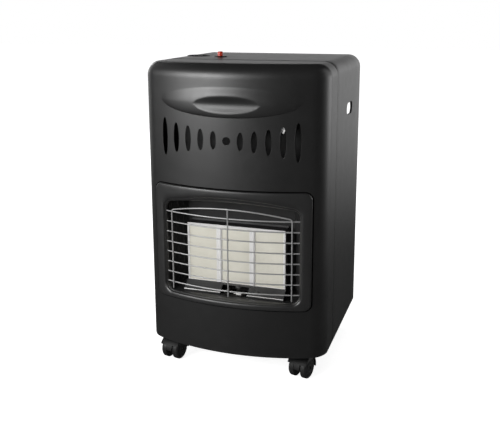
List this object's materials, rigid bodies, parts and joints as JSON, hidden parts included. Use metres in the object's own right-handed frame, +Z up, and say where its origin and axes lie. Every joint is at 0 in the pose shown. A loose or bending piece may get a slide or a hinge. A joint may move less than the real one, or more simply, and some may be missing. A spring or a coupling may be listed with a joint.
{
  "type": "portable gas cabinet heater",
  "caption": "Bow-fronted gas cabinet heater: ceramic plaques behind a wire guard, knob and igniter in the top, tilting louvred rear cover, swivel casters under the floor.",
  "frame": {"origin": "on the floor, under the middle of the heater's bounding box", "axes": "+Z up, the bowed front faces -Y, +X to the right of a person who faces the front"},
  "size_m": [0.42, 0.4122, 0.7205],
  "materials": {
    "cabinet_paint": "satin black powder coat on sheet steel",
    "surround_paint": "semi-gloss black stoved enamel",
    "inner_paint": "matt heat-resistant black",
    "zinc_sheet": "dull zinc-coated sheet",
    "bright_sheet": "bright rolled stainless sheet",
    "guard_chrome": "bright chromed wire",
    "plaque_ceramic": "matt cream perforated fireclay",
    "insulator_ceramic": "white glazed insulator",
    "brass": "turned brass",
    "valve_alloy": "cast alloy, as cast",
    "gas_pipe": "drawn tube, satin",
    "thermocouple_copper": "copper sheath, dull",
    "lead_insulation": "red silicone insulation",
    "pilot_steel": "heat-darkened steel",
    "spindle_steel": "turned steel",
    "dish_plastic": "fine-grained black plastic",
    "knob_plastic": "ribbed black plastic",
    "bezel_plastic": "black plastic",
    "button_red": "glossy red plastic",
    "caster_steel": "zinc-plated steel",
    "caster_nylon": "moulded black nylon",
    "wheel_nylon": "black nylon, worn smooth on the treads"
  },
  "bodies": {
    "heater": {"cabinet_wrapper": "cabinet_paint", "front_panel": "cabinet_paint", "firebox_surround": "surround_paint", "firebox_shell": "inner_paint", "floor_tray": "inner_paint", "heat_shield": "zinc_sheet", "top_baffle": "zinc_sheet", "injector_bracket": "zinc_sheet", "burner_body_1": "zinc_sheet", "burner_body_2": "zinc_sheet", "burner_body_3": "zinc_sheet", "igniter_nut": "zinc_sheet", "plaque_frame": "bright_sheet", "lower_deflector": "bright_sheet", "guard_grille": "guard_chrome", "ceramic_plaque_1": "plaque_ceramic", "ceramic_plaque_2": "plaque_ceramic", "ceramic_plaque_3": "plaque_ceramic", "spark_electrode": "insulator_ceramic", "igniter_cell": "insulator_ceramic", "injector_1": "brass", "injector_2": "brass", "injector_3": "brass", "hose_nozzle": "brass", "gas_valve_body": "valve_alloy", "gas_pipe_1": "gas_pipe", "gas_pipe_2": "gas_pipe", "gas_pipe_3": "gas_pipe", "pilot_pipe": "gas_pipe", "thermocouple": "thermocouple_copper", "ignition_lead": "lead_insulation", "pilot_bracket": "pilot_steel", "pilot_burner": "pilot_steel", "control_dish": "dish_plastic", "igniter_bezel": "bezel_plastic", "caster_front_left_plate": "caster_steel", "caster_front_right_plate": "caster_steel", "caster_rear_left_plate": "caster_steel", "caster_rear_right_plate": "caster_steel"},
    "tap": {"tap_plug": "brass"},
    "knob": {"control_knob": "knob_plastic", "valve_spindle": "spindle_steel"},
    "igniter": {"igniter_button": "button_red"},
    "rear_cover": {"rear_cover": "cabinet_paint"},
    "caster_front_left_swivel": {"caster_front_left_hood": "caster_nylon"},
    "caster_front_left_wheels": {"caster_front_left_axle": "caster_steel", "caster_front_left_wheel_left": "wheel_nylon", "caster_front_left_wheel_right": "wheel_nylon"},
    "caster_front_right_swivel": {"caster_front_right_hood": "caster_nylon"},
    "caster_front_right_wheels": {"caster_front_right_axle": "caster_steel", "caster_front_right_wheel_left": "wheel_nylon", "caster_front_right_wheel_right": "wheel_nylon"},
    "caster_rear_left_swivel": {"caster_rear_left_hood": "caster_nylon"},
    "caster_rear_left_wheels": {"caster_rear_left_axle": "caster_steel", "caster_rear_left_wheel_left": "wheel_nylon", "caster_rear_left_wheel_right": "wheel_nylon"},
    "caster_rear_right_swivel": {"caster_rear_right_hood": "caster_nylon"},
    "caster_rear_right_wheels": {"caster_rear_right_axle": "caster_steel", "caster_rear_right_wheel_left": "wheel_nylon", "caster_rear_right_wheel_right": "wheel_nylon"}
  },
  "joints": [
    {"name": "caster_front_left_swivel_turn", "type": "hinge", "parent": "heater", "child": "caster_front_left_swivel", "pos_m": [-0.158, -0.1169, 0.025], "axis": [0, 0, 1], "continuous": true},
    {"name": "caster_front_left_roll", "type": "hinge", "parent": "caster_front_left_swivel", "child": "caster_front_left_wheels", "pos_m": [-0.16078, -0.13671, 0.025], "axis": [0.9903, -0.1392, 0], "continuous": true},
    {"name": "caster_front_right_swivel_turn", "type": "hinge", "parent": "heater", "child": "caster_front_right_swivel", "pos_m": [0.158, -0.1169, 0.025], "axis": [0, 0, 1], "continuous": true},
    {"name": "caster_front_right_roll", "type": "hinge", "parent": "caster_front_right_swivel", "child": "caster_front_right_wheels", "pos_m": [0.1535, -0.13639, 0.025], "axis": [0.9744, -0.225, 0], "continuous": true},
    {"name": "caster_rear_left_swivel_turn", "type": "hinge", "parent": "heater", "child": "caster_rear_left_swivel", "pos_m": [-0.158, 0.1671, 0.025], "axis": [0, 0, 1], "continuous": true},
    {"name": "caster_rear_left_roll", "type": "hinge", "parent": "caster_rear_left_swivel", "child": "caster_rear_left_wheels", "pos_m": [-0.16009, 0.14721, 0.025], "axis": [0.9945, -0.1045, 0], "continuous": true},
    {"name": "caster_rear_right_swivel_turn", "type": "hinge", "parent": "heater", "child": "caster_rear_right_swivel", "pos_m": [0.158, 0.1671, 0.025], "axis": [0, 0, 1], "continuous": true},
    {"name": "caster_rear_right_roll", "type": "hinge", "parent": "caster_rear_right_swivel", "child": "caster_rear_right_wheels", "pos_m": [0.15418, 0.14747, 0.025], "axis": [0.9816, -0.1908, 0], "continuous": true},
    {"name": "knob_turn", "type": "hinge", "parent": "heater", "child": "tap", "pos_m": [-0.16, 0.0481, 0.7], "axis": [0, 0, 1], "range_deg": [-240, 0]},
    {"name": "knob_push", "type": "slide", "parent": "tap", "child": "knob", "axis": [0, 0, -1], "range_m": [0, 0.004], "stiffness_N_per_m": 1500, "springref_m": -0.002},
    {"name": "igniter_push", "type": "slide", "parent": "heater", "child": "igniter", "axis": [0, 0, -1], "range_m": [0, 0.007], "stiffness_N_per_m": 800, "springref_m": -0.004},
    {"name": "rear_cover_tilt", "type": "hinge", "parent": "heater", "child": "rear_cover", "pos_m": [0, 0.2061, 0.0632], "axis": [-1, 0, 0], "range_deg": [0, 75]}
  ]
}
